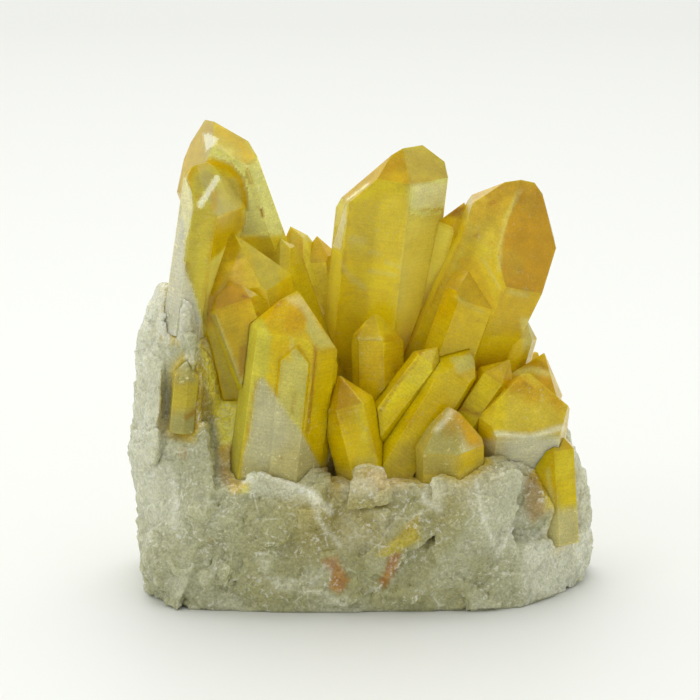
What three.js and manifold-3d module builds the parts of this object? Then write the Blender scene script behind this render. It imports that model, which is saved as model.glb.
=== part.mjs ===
// A cluster of tangerine quartz: golden points standing in a broken block of milky quartz.
// Millimetres, +Z up. The origin is on the resting face, under the middle of the cluster,
// and the side that shows best faces -Y.
import * as THREE from "three";
import { ConvexGeometry } from "three/addons/geometries/ConvexGeometry.js";
import { mergeVertices } from "three/addons/utils/BufferGeometryUtils.js";
import Module from "manifold-3d";

const wasm = await Module();
wasm.setup();

// ---------------------------------------------------------------- driving dimensions

const CONTACT_GAP = 0.3; // between one grown solid and the next
const ROOT_LEVEL = 12; // height at which a point's root ends inside the block
const CAP_SLOPE = THREE.MathUtils.degToRad(38.2); // a cap face's normal above its prism face's
const PRISM_SIDES = 6;
const FLAT_TOLERANCE = 1e-4; // how nearly a corner has to lie on its planes
const CORNER_TOLERANCE = 0.02; // corners nearer than this are one

// The points, in the groups that have grown into one another. Front groups come first,
// because a later group is cut back where it meets an earlier one.
//   tip    where the point's axis leaves its cap
//   right  its lean towards +X and
//   back   its lean towards +Y, in degrees
//   turn   its first prism face's swing from -Y towards +X, in degrees
//   across its width over flats, or flats, each prism face's own distance from the axis
//   cap    how far each cap face stands off the tip; more leaves that face smaller
//   root   the height at which it ends, where that isn't ROOT_LEVEL
const GROUPS = {
  front_left_points: [
    {
      tip: [-9.6, -12.5, 47.2], right: 8, back: -2, turn: -12, root: 13,
      flats: [4.6, 6.5, 6, 5.8, 5.8, 5.8],
      cap: [0, 0.6, 0, 0, 0, 0.9],
    },
    {
      tip: [-8.5, -12.5, 43], right: 6, back: -2, turn: -8,
      flats: [5.5, 4.4, 5, 5, 5, 4.5],
      cap: [3, 0.2, 0, 0, 0, 0.2],
    },
  ],
  small_front_point: [
    { tip: [-3.4, -12, 34.4], right: -14, back: 2, turn: 9, across: 7, root: 16 },
  ],
  leaning_bar_point: [
    {
      tip: [11.4, -8, 37.8], right: 38, back: 12, turn: -20, root: 18,
      flats: [2, 2.6, 2.2, 2.2, 2.2, 2.1],
    },
  ],
  broad_slanted_point: [
    {
      tip: [15.5, -6.5, 37.4], right: 32, back: 12, turn: 9,
      flats: [4.2, 4, 4.2, 4.5, 4.5, 4.3],
      cap: [0.8, 1.3, 0, 0, 0, 0],
    },
  ],
  front_stub_point: [
    {
      tip: [12.7, -14, 30], right: -1, back: -5, turn: -13, across: 9.4, root: 16,
      cap: [0, 0.1, 0.7, 0, 0, 0],
    },
  ],
  blunt_right_points: [
    {
      tip: [24.8, -12, 35], right: 3, back: -23, turn: 11, root: 14,
      flats: [4.6, 6.3, 5.5, 5.5, 5.5, 6.7],
      cap: [-1.7, 1.6, 0, 0, 0, 0.8],
    },
    { tip: [22.3, -7, 35.6], right: 33, back: 4, turn: -20, across: 5.4 },
    { tip: [27.8, -4, 36], right: 18, back: 2, turn: 15, across: 8.8 },
  ],
  small_centre_point: [
    {
      tip: [2.2, -5, 42], right: -1, back: 2, turn: -13, root: 18,
      flats: [3.4, 3.2, 3.6, 3.7, 3.2, 3.4],
      cap: [0.6, 0.3, 0.4, 0, 0, 1],
    },
  ],
  right_tall_points: [
    {
      tip: [26.1, -1, 62.6], right: 23, back: -11, turn: -27,
      flats: [7.5, 8.9, 7.5, 7.2, 7.2, 7],
      cap: [-0.9, -2.1, 0.4, 0.9, 0.3, 1.1],
    },
    { tip: [25, 0, 41], right: 14, back: 0, turn: 10, across: 4.8 },
    {
      tip: [15.8, 5, 57.8], right: 12, back: 0, turn: 9,
      flats: [3.3, 2.2, 2.5, 3, 3, 2.8],
    },
    {
      tip: [18.8, -4, 51.4], right: 19, back: 0, turn: 12,
      flats: [3.5, 4, 3.5, 3.5, 3.5, 4.1],
      cap: [-1.8, 0.6, 0, 0, 0, -0.7],
    },
  ],
  left_tall_points: [
    {
      tip: [-25.2, 7, 71.8], right: -19, back: -3, turn: -12,
      flats: [6.3, 8.4, 4.6, 6.2, 8.2, 6.2],
      cap: [1.9, 1.1, -0.4, 0.9, 1.9, -2.2],
    },
    {
      tip: [-21.3, -5.5, 67.4], right: 9, back: -1, turn: 10, root: 40,
      flats: [5.6, 3, 6.9, 4.2, 2.9, 5.6],
      cap: [-0.1, -3.1, 3.6, 0, 0, 1.7],
    },
    {
      tip: [-19.6, -5, 54.8], right: -12, back: -8, turn: -6,
      flats: [5.5, 6.3, 6.3, 6.2, 5.9, 8],
      cap: [-0.3, -0.1, 0, 0, 0, 0.8],
    },
    {
      tip: [-19.8, -9, 48.1], right: -19, back: 4, turn: -4,
      flats: [2.6, 3.5, 3.5, 3.5, 3.2, 4],
      cap: [0.1, 0.8, 0, 0, 0, 1.1],
    },
    {
      tip: [-12.4, 1, 52.8], right: -20, back: 3, turn: 5,
      flats: [3.5, 1.4, 1.8, 3.5, 3.5, 3.5],
    },
  ],
  centre_tall_point: [
    {
      tip: [6.3, 4, 68.1], right: 6, back: -5, turn: -8,
      flats: [7, 5.8, 7, 7.5, 6.1, 8.9],
      cap: [2.1, 1.1, 3.9, 0, -2.4, 1],
    },
  ],
  right_recess_point: [
    { tip: [28.8, -8.5, 26], right: -4, back: 4, turn: -32, across: 5.8, root: 8 },
  ],
  left_flank_point: [
    { tip: [-26, -12.4, 36.8], right: 6, back: 2, turn: -20, across: 3.4, root: 26 },
  ],
  back_twin_points: [
    {
      tip: [-11.1, 10, 53.3], right: -19, back: 3, turn: 10,
      flats: [3.8, 1.7, 3.4, 3, 3, 3],
    },
    {
      tip: [-7, 11, 51.6], right: -6, back: 3, turn: 0,
      flats: [3, 2.4, 2.3, 3, 3, 3],
    },
  ],
  back_left_points: [
    { tip: [-24, 17, 44], right: -14, back: 14, turn: 10, across: 8, root: 10 },
    { tip: [-19, 19, 36], right: -4, back: 22, turn: -8, across: 6, root: 10 },
  ],
  back_middle_points: [
    { tip: [-4, 18.2, 41], right: -6, back: 16, turn: 4, across: 9, root: 10 },
    { tip: [5, 19, 36], right: 10, back: 20, turn: 14, across: 6.4, root: 10 },
  ],
  back_low_points: [
    { tip: [-12, 18, 33], right: 6, back: 20, turn: 0, across: 5.4 },
    { tip: [-14, 14, 38], right: 2, back: 10, turn: 20, across: 5 },
  ],
  back_right_points: [
    { tip: [13, 17, 38], right: 4, back: 14, turn: 6, across: 6 },
    { tip: [20, 18, 40], right: 18, back: 16, turn: -6, across: 8, root: 10 },
  ],
  back_corner_point: [
    { tip: [28, 12, 33], right: 20, back: 10, turn: 12, across: 6.4, root: 10 },
  ],
};

// The block's main lumps, each the hull of its corners.
const LUMPS = {
  body: [
    [-26, -19, -1], [-10, -20.6, -1], [15, -19.6, -1], [25, -13, -1], [31, -3, -1], [30, 7, -1],
    [19, 18.4, -1], [-18, 19.4, -1], [-30, 10, -1], [-31, -6, -1], [-12, -20.8, 8], [13, -20, 8],
    [-26, -17.4, 18], [-19, -18.6, 18.6], [11, -18, 19], [20, -14, 18], [28, -4, 16], [29, 6, 16],
    [18, 16.4, 18], [-18, 17.4, 20], [-29, 9, 19], [-31, -5, 21],
  ],
  mound: [
    [-28, -14, 15], [20, -14, 15], [30, 8, 15], [18, 18, 15], [-18, 18, 15],
    [-26, -6, 29], [-18, -8, 29], [18, -3, 28], [14, 10, 32], [-16, 10, 34], [-25, 10, 30],
  ],
  left_wall: [
    [-31, -4, 46.3], [-30, -6, 47.2], [-29, -8, 47.4], [-25.6, -12.5, 45.4], [-28, 6, 44],
    [-32.5, -6, 43.5], [-34.6, -6, 37.5], [-25, -13.5, 36], [-32.6, 4, 36], [-23, 0, 39],
    [-20, 4, 34], [-21, -5, 30], [-34.5, -6, 20], [-24, -12, 22], [-33.6, 8, 20],
  ],
  left_bulge: [
    [-35.2, -7, 21], [-34.9, -7, 29], [-25, -9, 33], [-24, 4, 30], [-23.5, -13, 25],
    [-21.9, -18.6, 19], [-35.7, 8, 17], [-33.9, -8, 5.7], [-32.8, -10, -1], [-27.6, -19.8, -1],
    [-33.6, 10, -1],
  ],
  wall_front_spur: [
    [-30, -5, 41], [-33.8, -7, 38], [-30, -13, 33], [-34.2, -7.5, 30], [-31, -14, 22],
    [-34.8, -9, 18], [-30, -6, 18],
  ],
  wall_back_spur: [
    [-29, 3, 41], [-32.6, 5, 38], [-30, 8, 34], [-34.5, 4, 28], [-31, 9, 18], [-29, 2, 18],
    [-35, 3, 12],
  ],
  right_rim: [
    [30.5, 2, 25], [31, -3, 24.5], [29, -2, 20], [34.3, -3, 16.5], [28, 0, 12], [35.7, -3, 10],
    [35.6, 4, 6], [35.5, -3, 2.6], [32, -9, -1], [35, 7, -1], [30, 0, -1],
  ],
  right_foot: [
    [24, -8, 10], [17, -18.8, 9], [23, -18.2, 9.6], [30, -12, 9], [34.5, -5, 8], [34.5, -6, 1],
    [16, -20, -1], [24, -18, -1], [29, -13, -1],
  ],
  front_ledge: [
    [13, -16, 22], [21, -12, 22.5], [9.8, -20.6, 20], [24, -15.5, 20], [15.5, -20.7, 15],
    [18.5, -19.8, 12], [22.5, -17.4, 8], [11, -21.2, 8],
  ],
  point_foot: [
    [-17, -18, 21], [-12, -14, 20.5], [-7, -18.4, 18.6], [-19, -19.4, 17], [-3, -19.4, 16.6],
    [-10, -21.6, 13], [-17, -21, 12],
  ],
  front_bar: [
    [8, -18, 18.4], [12.4, -19.4, 17], [10, -21.4, 16.4], [12, -20.8, 12.6], [2.4, -19, 10.6],
    [0.4, -22, 9.2], [3.4, -21.8, 5.6], [0, -20.6, 6.4],
  ],
  front_knob: [
    [0, -14, 22], [3.5, -18.5, 21.8], [-1.5, -19, 21.5], [1, -21.2, 19], [4.5, -20.6, 17],
    [-2, -21, 16],
  ],
};

// Rings of rough lumps round the block's broken sides, the biggest first. small and large are
// the range of a lump's half size, inside is how much of it lies within the outline,
// and low and high are the heights of its middle.
const BREAKAGE = [
  { count: 22, small: 7.5, large: 11, inside: 0.94, corners: 20, low: 3, high: 6, seed: 3 },
  { count: 24, small: 6, large: 9, inside: 0.94, corners: 18, low: 11, high: 14, seed: 21 },
  { count: 40, small: 2.4, large: 4.4, inside: 0.9, corners: 12, low: 0, high: 17, seed: 11 },
];
const OUTLINE = [
  [-27.6, -19.6], [-20, -21.8], [-6, -22], [8, -21.8], [17, -20.6], [27, -14.4], [33.5, -4],
  [33.5, 7], [22, 20.2], [6, 20.6], [-8, 20.6], [-20, 20.7], [-31.2, 11], [-32.8, -4],
];

// ---------------------------------------------------------------- solids

const V = (x, y, z) => new THREE.Vector3(x, y, z);

// A closed mesh as a solid that can be joined and cut.
function toSolid(geometry) {
  const bare = geometry.clone();
  bare.deleteAttribute("normal");
  const merged = mergeVertices(bare, 1e-3);
  return new wasm.Manifold(
    new wasm.Mesh({
      numProp: 3,
      vertProperties: merged.attributes.position.array,
      triVerts: new Uint32Array(merged.index.array),
    }),
  );
}

// A solid as a mesh's geometry.
function toGeometry(solid) {
  const { numVert, numProp, vertProperties, triVerts } = solid.getMesh();
  const position = new Float32Array(numVert * 3);
  for (let i = 0; i < numVert; i++)
    position.set(vertProperties.subarray(i * numProp, i * numProp + 3), i * 3);
  const geometry = new THREE.BufferGeometry();
  geometry.setAttribute("position", new THREE.BufferAttribute(position, 3));
  geometry.setIndex(new THREE.BufferAttribute(triVerts, 1));
  return geometry;
}

const hull = (points) => toSolid(new ConvexGeometry(points));

const joined = (solids) => solids.reduce((all, one) => all.add(one));

// The biggest of the pieces a cut leaves; slivers pinched off between neighbours go.
const mainPiece = (solid) => solid.decompose().sort((a, b) => b.volume() - a.volume())[0];

// Where three planes meet, each given as { normal, reach }; null where they are near parallel.
function meetingPoint(a, b, c) {
  const bc = b.normal.clone().cross(c.normal);
  const volume = a.normal.dot(bc);
  if (Math.abs(volume) < FLAT_TOLERANCE) return null;
  return bc
    .multiplyScalar(a.reach)
    .add(c.normal.clone().cross(a.normal).multiplyScalar(b.reach))
    .add(a.normal.clone().cross(b.normal).multiplyScalar(c.reach))
    .divideScalar(volume);
}

// The convex solid inside some planes, whose reach is measured from `centre`.
function solidInside(planes, centre) {
  const corners = [];
  for (let i = 0; i < planes.length; i++)
    for (let j = i + 1; j < planes.length; j++)
      for (let k = j + 1; k < planes.length; k++) {
        const corner = meetingPoint(planes[i], planes[j], planes[k]);
        if (!corner) continue;
        const outside = planes.some((p) => p.normal.dot(corner) > p.reach + FLAT_TOLERANCE);
        const known = corners.some((other) => other.distanceTo(corner) < CORNER_TOLERANCE);
        if (!outside && !known) corners.push(corner);
      }
  return hull(corners.map((corner) => corner.add(centre)));
}

// ---------------------------------------------------------------- crystals

// The planes of one quartz point, its root's first, moved out by `grow`.
function pointPlanes(point, grow) {
  const { degToRad } = THREE.MathUtils;
  const axis = V(Math.tan(degToRad(point.right)), Math.tan(degToRad(point.back)), 1).normalize();
  const front = V(0, -1, 0).addScaledVector(axis, axis.y).normalize();
  const side = axis.clone().cross(front);
  const length = (point.tip[2] - (point.root ?? ROOT_LEVEL)) / axis.z;
  const planes = [{ normal: axis.clone().negate(), reach: length + grow }];
  for (let k = 0; k < PRISM_SIDES; k++) {
    const angle = degToRad(point.turn + (360 / PRISM_SIDES) * k);
    const out = V(0, 0, 0)
      .addScaledVector(front, Math.cos(angle))
      .addScaledVector(side, Math.sin(angle));
    const capOut = V(0, 0, 0)
      .addScaledVector(out, Math.cos(CAP_SLOPE))
      .addScaledVector(axis, Math.sin(CAP_SLOPE));
    planes.push({ normal: out, reach: (point.flats?.[k] ?? point.across / 2) + grow });
    planes.push({ normal: capOut, reach: (point.cap?.[k] ?? 0) + grow });
  }
  return planes;
}

const pointSolid = (point, grow = 0) => solidInside(pointPlanes(point, grow), V(...point.tip));

// ---------------------------------------------------------------- the milky block

// A repeatable stream of numbers from 0 to 1.
function chance(seed) {
  const [factor, step, range] = [1664525, 1013904223, 2 ** 32];
  let state = seed;
  return () => {
    state = (state * factor + step) % range;
    return state / range;
  };
}

// A rough lump, its corners scattered over a ball.
function lump(centre, size, corners, random) {
  const points = Array.from({ length: corners }, () =>
    V(random() - 0.5, random() - 0.5, random() - 0.5).setLength(size).add(centre),
  );
  return hull(points);
}

// One ring of lumps, spaced round the outline.
function brokenSides({ count, small, large, inside, corners, low, high, seed }) {
  const random = chance(seed);
  return Array.from({ length: count }, (_, i) => {
    const along = ((i + random() * 0.6) / count) * OUTLINE.length;
    const from = V(...OUTLINE[Math.floor(along) % OUTLINE.length], 0);
    const to = V(...OUTLINE[(Math.floor(along) + 1) % OUTLINE.length], 0);
    const inward = V(from.y - to.y, to.x - from.x, 0).normalize();
    const size = small + random() * (large - small);
    const centre = from.lerp(to, along % 1).addScaledVector(inward, size * inside);
    centre.z = low + random() * (high - low);
    return lump(centre, size, corners, random);
  });
}

// The block, cut off flat where it rests.
function milkyBlock() {
  const lumps = Object.values(LUMPS).map((corners) => hull(corners.map((c) => V(...c))));
  const rough = joined([...lumps, ...BREAKAGE.flatMap(brokenSides)]);
  return rough.trimByPlane([0, 0, 1], 0);
}

// ---------------------------------------------------------------- the cluster

// Each group of points less the groups in front of it, and the block less all of them.
function grownTogether() {
  const solids = new Map();
  const placed = []; // every point so far, with its share of the gap
  const lessPlaced = (solid) => placed.reduce((rest, point) => rest.subtract(point), solid);
  for (const [name, points] of Object.entries(GROUPS)) {
    const group = joined(points.map((point) => pointSolid(point)));
    solids.set(name, mainPiece(lessPlaced(group)));
    placed.push(...points.map((point) => pointSolid(point, CONTACT_GAP)));
  }
  solids.set("milky_block", mainPiece(lessPlaced(milkyBlock())));
  return solids;
}

function goldenQuartz() {
  return new THREE.MeshStandardMaterial({
    color: new THREE.Color(0.72, 0.58, 0.12),
    roughness: 0.25,
    metalness: 0,
    transparent: true,
    opacity: 0.85,
  });
}

function milkyQuartz() {
  return new THREE.MeshStandardMaterial({
    color: new THREE.Color(0.72, 0.73, 0.64),
    roughness: 0.5,
    metalness: 0,
  });
}

const cluster = new THREE.Group();
for (const [name, solid] of grownTogether()) {
  const material = name === "milky_block" ? milkyQuartz() : goldenQuartz();
  const mesh = new THREE.Mesh(toGeometry(solid), material);
  mesh.name = name;
  cluster.add(mesh);
}

export default cluster;
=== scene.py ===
"""A cluster of tangerine quartz: golden points grown together in a broken block of milky quartz.

The solids come from the frame. Each is dressed with the finish of the real thing: crisp edges,
growth lines, stains and veils on the golden points, and a chipped, bruised surface on the block.
Some facets, and a patch of the block, also get painted light: lifted shade, painted highlights
and painted reflections.
Lengths are written in millimetres and used in metres, through MM."""

import math

import bmesh
import bpy
from mathutils import Euler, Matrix, Vector, kdtree, noise
from mathutils.bvhtree import BVHTree


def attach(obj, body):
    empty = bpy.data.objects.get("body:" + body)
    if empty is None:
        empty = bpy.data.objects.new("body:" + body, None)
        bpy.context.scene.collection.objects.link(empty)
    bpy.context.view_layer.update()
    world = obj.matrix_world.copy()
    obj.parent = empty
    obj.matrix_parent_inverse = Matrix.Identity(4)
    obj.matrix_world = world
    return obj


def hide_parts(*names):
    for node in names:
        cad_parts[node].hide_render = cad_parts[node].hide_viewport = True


MM = 0.001

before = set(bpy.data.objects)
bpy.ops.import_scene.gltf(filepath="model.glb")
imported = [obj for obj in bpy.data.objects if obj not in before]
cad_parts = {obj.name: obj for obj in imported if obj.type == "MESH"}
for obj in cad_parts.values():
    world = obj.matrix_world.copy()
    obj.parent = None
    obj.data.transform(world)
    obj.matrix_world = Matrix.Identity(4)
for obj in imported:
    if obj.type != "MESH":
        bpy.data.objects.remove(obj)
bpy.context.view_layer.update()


# ---------------------------------------------------------------- the camera and the studio

TARGET = Vector((-1.8, 0, 35.7)) * MM  # the middle of the view
DISTANCE = 360 * MM
ELEVATION = math.radians(12)
LENS = 120
SENSOR = 36
VIEW = 700  # pixels across the view, the unit of the places that stains and painted light are given by

FORWARD = Vector((0, math.cos(ELEVATION), -math.sin(ELEVATION)))
UPWARD = Vector((0, math.sin(ELEVATION), math.cos(ELEVATION)))
EYE = TARGET - DISTANCE * FORWARD

SKYLIGHT = Vector((-0.1, 0.5, 0.85))  # where the broad light overhead comes from
SKYLIGHT_EDGE = (0.62, 0.98)  # it grows between these cosines of the angle from there
SURROUND = 0.73
OVERHEAD = 2.4
WORLD_TINT = (1, 1, 0.99, 1)

FLOOR_RADIUS = 4
# Painted shade: the floor's colour goes from the near one to the darker far one away from the
# cluster.
FLOOR_NEAR = (0.75, 0.76, 0.73, 1)
FLOOR_FAR = (0.64, 0.65, 0.62, 1)
FLOOR_FADE = (0.2, 1.2)  # how far from the middle the near colour goes over to the far one


def place_camera():
    """A long lens, a little above level, square to the side that shows the most points."""
    data = bpy.data.cameras.new("camera")
    data.lens = LENS
    data.sensor_width = SENSOR
    data.clip_start = 0.01
    data.clip_end = 20
    camera = bpy.data.objects.new("camera", data)
    bpy.context.scene.collection.objects.link(camera)
    camera.location = EYE
    camera.rotation_mode = "QUATERNION"
    camera.rotation_quaternion = (TARGET - EYE).to_track_quat("-Z", "Y")
    bpy.context.scene.camera = camera


def ray_through(across, down):
    """The direction in which the camera sees a pixel of its view."""
    right = (across / VIEW - 0.5) * SENSOR / LENS
    up = (0.5 - down / VIEW) * SENSOR / LENS
    return FORWARD + Vector((right, 0, 0)) + UPWARD * up


def on_plane(ray):
    """Where a ray from the camera meets the upright plane through the origin, in millimetres."""
    spot = EYE - ray * (EYE.y / ray.y)
    return spot.x / MM, spot.z / MM


def place_softbox(name, place, size, power):
    """A square softbox that faces the cluster."""
    data = bpy.data.lights.new(name, "AREA")
    data.size = size
    data.energy = power
    lamp = bpy.data.objects.new(name, data)
    bpy.context.scene.collection.objects.link(lamp)
    lamp.location = place
    lamp.rotation_mode = "QUATERNION"
    lamp.rotation_quaternion = (TARGET - Vector(place)).to_track_quat("-Z", "Y")


def fill_world():
    """A pale surround with a broad soft light overhead, a little behind the cluster."""
    world = bpy.data.worlds.new("pale surround")
    world.use_nodes = True
    bpy.context.scene.world = world
    nodes, links = world.node_tree.nodes, world.node_tree.links
    nodes.clear()
    coords = nodes.new("ShaderNodeTexCoord")
    towards = nodes.new("ShaderNodeVectorMath")
    towards.operation = "DOT_PRODUCT"
    towards.inputs[1].default_value = SKYLIGHT.normalized()
    ramp = nodes.new("ShaderNodeMapRange")
    ramp.interpolation_type = "SMOOTHSTEP"
    ramp.inputs["From Min"].default_value = SKYLIGHT_EDGE[0]
    ramp.inputs["From Max"].default_value = SKYLIGHT_EDGE[1]
    ramp.inputs["To Min"].default_value = SURROUND
    ramp.inputs["To Max"].default_value = OVERHEAD
    glow = nodes.new("ShaderNodeBackground")
    out = nodes.new("ShaderNodeOutputWorld")
    links.new(coords.outputs["Generated"], towards.inputs[0])
    links.new(towards.outputs["Value"], ramp.inputs["Value"])
    links.new(ramp.outputs[0], glow.inputs["Strength"])
    links.new(glow.outputs[0], out.inputs[0])
    glow.inputs["Color"].default_value = WORLD_TINT


def lay_floor():
    """A pale floor with painted shade: its colour gets a little darker far from the cluster."""
    bm = bmesh.new()
    bmesh.ops.create_circle(bm, cap_ends=True, segments=96, radius=FLOOR_RADIUS)
    floor = new_object("floor", bm)
    material, shader = new_material("pale floor")
    nodes, links = material.node_tree.nodes, material.node_tree.links
    coords = nodes.new("ShaderNodeTexCoord")
    away = nodes.new("ShaderNodeVectorMath")
    away.operation = "LENGTH"
    links.new(coords.outputs["Object"], away.inputs[0])
    falloff = nodes.new("ShaderNodeMapRange")
    falloff.inputs["From Min"].default_value = FLOOR_FADE[0]
    falloff.inputs["From Max"].default_value = FLOOR_FADE[1]
    links.new(away.outputs["Value"], falloff.inputs["Value"])
    shade = nodes.new("ShaderNodeMix")
    shade.data_type = "RGBA"
    shade.inputs["A"].default_value = FLOOR_NEAR
    shade.inputs["B"].default_value = FLOOR_FAR
    links.new(falloff.outputs[0], shade.inputs["Factor"])
    links.new(shade.outputs["Result"], shader.inputs["Base Color"])
    shader.inputs["Roughness"].default_value = 0.55
    shader.inputs["Specular IOR Level"].default_value = 0.25
    floor.data.materials.append(material)


# ---------------------------------------------------------------- small helpers


def new_object(name, bm):
    mesh = bpy.data.meshes.new(name)
    bm.to_mesh(mesh)
    bm.free()
    made = bpy.data.objects.new(name, mesh)
    bpy.context.scene.collection.objects.link(made)
    return made


def new_material(name):
    material = bpy.data.materials.new(name)
    material.use_nodes = True
    return material, material.node_tree.nodes["Principled BSDF"]


def smoothstep(low, high, value):
    share = min(1, max(0, (value - low) / (high - low)))
    return share * share * (3 - 2 * share)


def linear(red, green, blue):
    """A colour given in screen values, 0 to 255, as the shaders want it."""
    return Vector([(c / 12.92 if c <= 0.04045 else ((c + 0.055) / 1.055) ** 2.4)
                   for c in (red / 255, green / 255, blue / 255)])


# ---------------------------------------------------------------- the golden points

# Where each point's axis leaves its cap, in millimetres, and its lean towards +X and +Y in
# degrees, as in the solids. Growth lines lie across these axes.
POINTS = {
    "front_left_points": [((-9.6, -12.5, 47.2), 8, -2), ((-8.5, -12.5, 43), 6, -2)],
    "small_front_point": [((-3.4, -12, 34.4), -14, 2)],
    "leaning_bar_point": [((11.4, -8, 37.8), 38, 12)],
    "broad_slanted_point": [((15.5, -6.5, 37.4), 32, 12)],
    "front_stub_point": [((12.7, -14, 30), -1, -5)],
    "blunt_right_points": [
        ((24.8, -12, 35), 3, -23), ((22.3, -7, 35.6), 33, 4), ((27.8, -4, 36), 18, 2),
    ],
    "small_centre_point": [((2.2, -5, 42), -1, 2)],
    "right_tall_points": [
        ((26.1, -1, 62.6), 23, -11), ((25, 0, 41), 14, 0),
        ((15.8, 5, 57.8), 12, 0), ((18.8, -4, 51.4), 19, 0),
    ],
    "left_tall_points": [
        ((-25.2, 7, 71.8), -19, -3), ((-21.3, -5.5, 67.4), 9, -1), ((-19.6, -5, 54.8), -12, -8),
        ((-19.8, -9, 48.1), -19, 4), ((-12.4, 1, 52.8), -20, 3),
    ],
    "centre_tall_point": [((6.3, 4, 68.1), 6, -5)],
    "right_recess_point": [((28.8, -8.5, 26), -4, 4)],
    "left_flank_point": [((-26, -12.4, 36.8), 6, 2)],
    "back_twin_points": [((-11.1, 10, 53.3), -19, 3), ((-7, 11, 51.6), -6, 3)],
    "back_left_points": [((-24, 17, 44), -14, 14), ((-19, 19, 36), -4, 22)],
    "back_middle_points": [((-4, 18.2, 41), -6, 16), ((5, 19, 36), 10, 20)],
    "back_low_points": [((-12, 18, 33), 6, 20), ((-14, 14, 38), 2, 10)],
    "back_right_points": [((13, 17, 38), 4, 14), ((20, 18, 40), 18, 16)],
    "back_corner_point": [((28, 12, 33), 20, 10)],
}
FROSTED = 0.45  # a face more frosted than this isn't see-through
CLEAR_POINTS = ("left_tall_points", "centre_tall_point", "right_tall_points")
CAP_RISE = math.sin(math.radians(38.2))  # a cap face's normal along its point's axis
WELD = 0.003 * MM  # corners closer than this are one
SAME_FACET = math.radians(1)  # faces that meet flatter than this are one facet
SHARP = math.radians(8)  # edges sharper than this get a bevel
CREASE = math.radians(12)  # and those sharper than this, once bevelled, stay crisp in the shading
FAR_POINT = 60 * MM  # a point this far away is as unlikely to own a facet as one square to it
BEVEL = 0.14 * MM
SWELL = 0.14 * MM  # closes the gaps between neighbours
FINE_CELL = 0.42 * MM  # facets are cut into cells this wide, so that stains can fade across them
PLAIN_CELL = 1.4 * MM
SOFTEST = 0.28  # the crispest edge of a patch or streak, stains and painted light alike, in millimetres
RIPPLE_WIDE = 1.1 * MM  # the waver in a patch's or streak's edge
RIPPLE_DEEP = 0.1  # in millimetres
CAP_LINES = 0.2  # how fine the growth lines are on a cap, where a prism face has 1
GROWTH = 10 * MM  # one unit of the growth lines' coordinates
ROOT_FADE = 1.5 * MM  # how far from the block a point's root goes milky
RIM_STAIN = (0.1 * MM, 0.9 * MM)  # iron stain fades out between these distances from an edge
RIM_SHARE = 0.5
STAIN_CLOUD = 4 * MM
VEIL_CLOUD = 6 * MM
VEIL_SHIFT = Vector((7, 0, 0))
UNPAINTED_MILK = 0.8  # how milky the groups without stains of their own are
EDGE_ON = 0.22  # stains and painted light fade out on facets that the camera sees more edge-on than this

# Tones, in screen values, and how frosted each is.
TONES = {
    "gold": (210, 182, 2, 0.1),
    "yellow": (217, 195, 18, 0.15),
    "deep": (180, 142, 4, 0.1),
    "pale gold": (206, 197, 66, 0.3),
    "straw": (208, 192, 64, 0.35),
    "window": (200, 192, 98, 0.4),
    "cream": (222, 221, 134, 0.5),
    "spear": (230, 226, 176, 0.6),
    "amber": (202, 160, 10, 0.3),
    "rust": (150, 98, 24, 0.6),
    "brown": (160, 118, 10, 0.4),
    "milk": (188, 182, 128, 0.7),
    "white": (236, 236, 214, 0.8),
    "snow": (226, 227, 204, 0.6),
    "icy": (176, 176, 138, 0.6),
    "moss": (158, 155, 98, 0.5),
    "honey": (170, 148, 52, 0.4),
    "rim": (176, 144, 16, 0.35),
    "cap": (206, 176, 14, 0.25),
    "tan": (208, 180, 42, 0.35),
    # bright, glow and shine are painted light: tones lighter than the gold, laid on facets that
    # the lighting leaves in shade.
    "bright": (233, 212, 24, 0.15),
    "glow": (250, 238, 86, 0.15),
    "shine": (255, 244, 120, 0.3),
    "chalk": (206, 204, 176, 0.7),
    "rosy": (168, 158, 84, 0.5),
    "orange": (172, 118, 14, 0.6),
    "olive": (188, 172, 58, 0.35),
}
RIM_TONE = "rim"
CAP_TONE = "cap"
PALE_FLECK = (244, 238, 180)
RUST_SPECK = (170, 124, 10)


def patch(name, soft, share, corners):
    """A patch of colour, stains and painted light alike: corners as pixels of the view, soft edge
    in millimetres.
    """
    line = [on_plane(ray_through(*corner)) for corner in corners]
    return {"tone": name, "soft": soft, "share": share, "line": [*line, line[0]], "wide": None}


def streak(name, wide, soft, share, bends):
    """A streak of colour along a line, stains and painted light alike, given in the same way."""
    line = [on_plane(ray_through(*bend)) for bend in bends]
    return {"tone": name, "soft": soft, "share": share, "line": line, "wide": wide}


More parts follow.
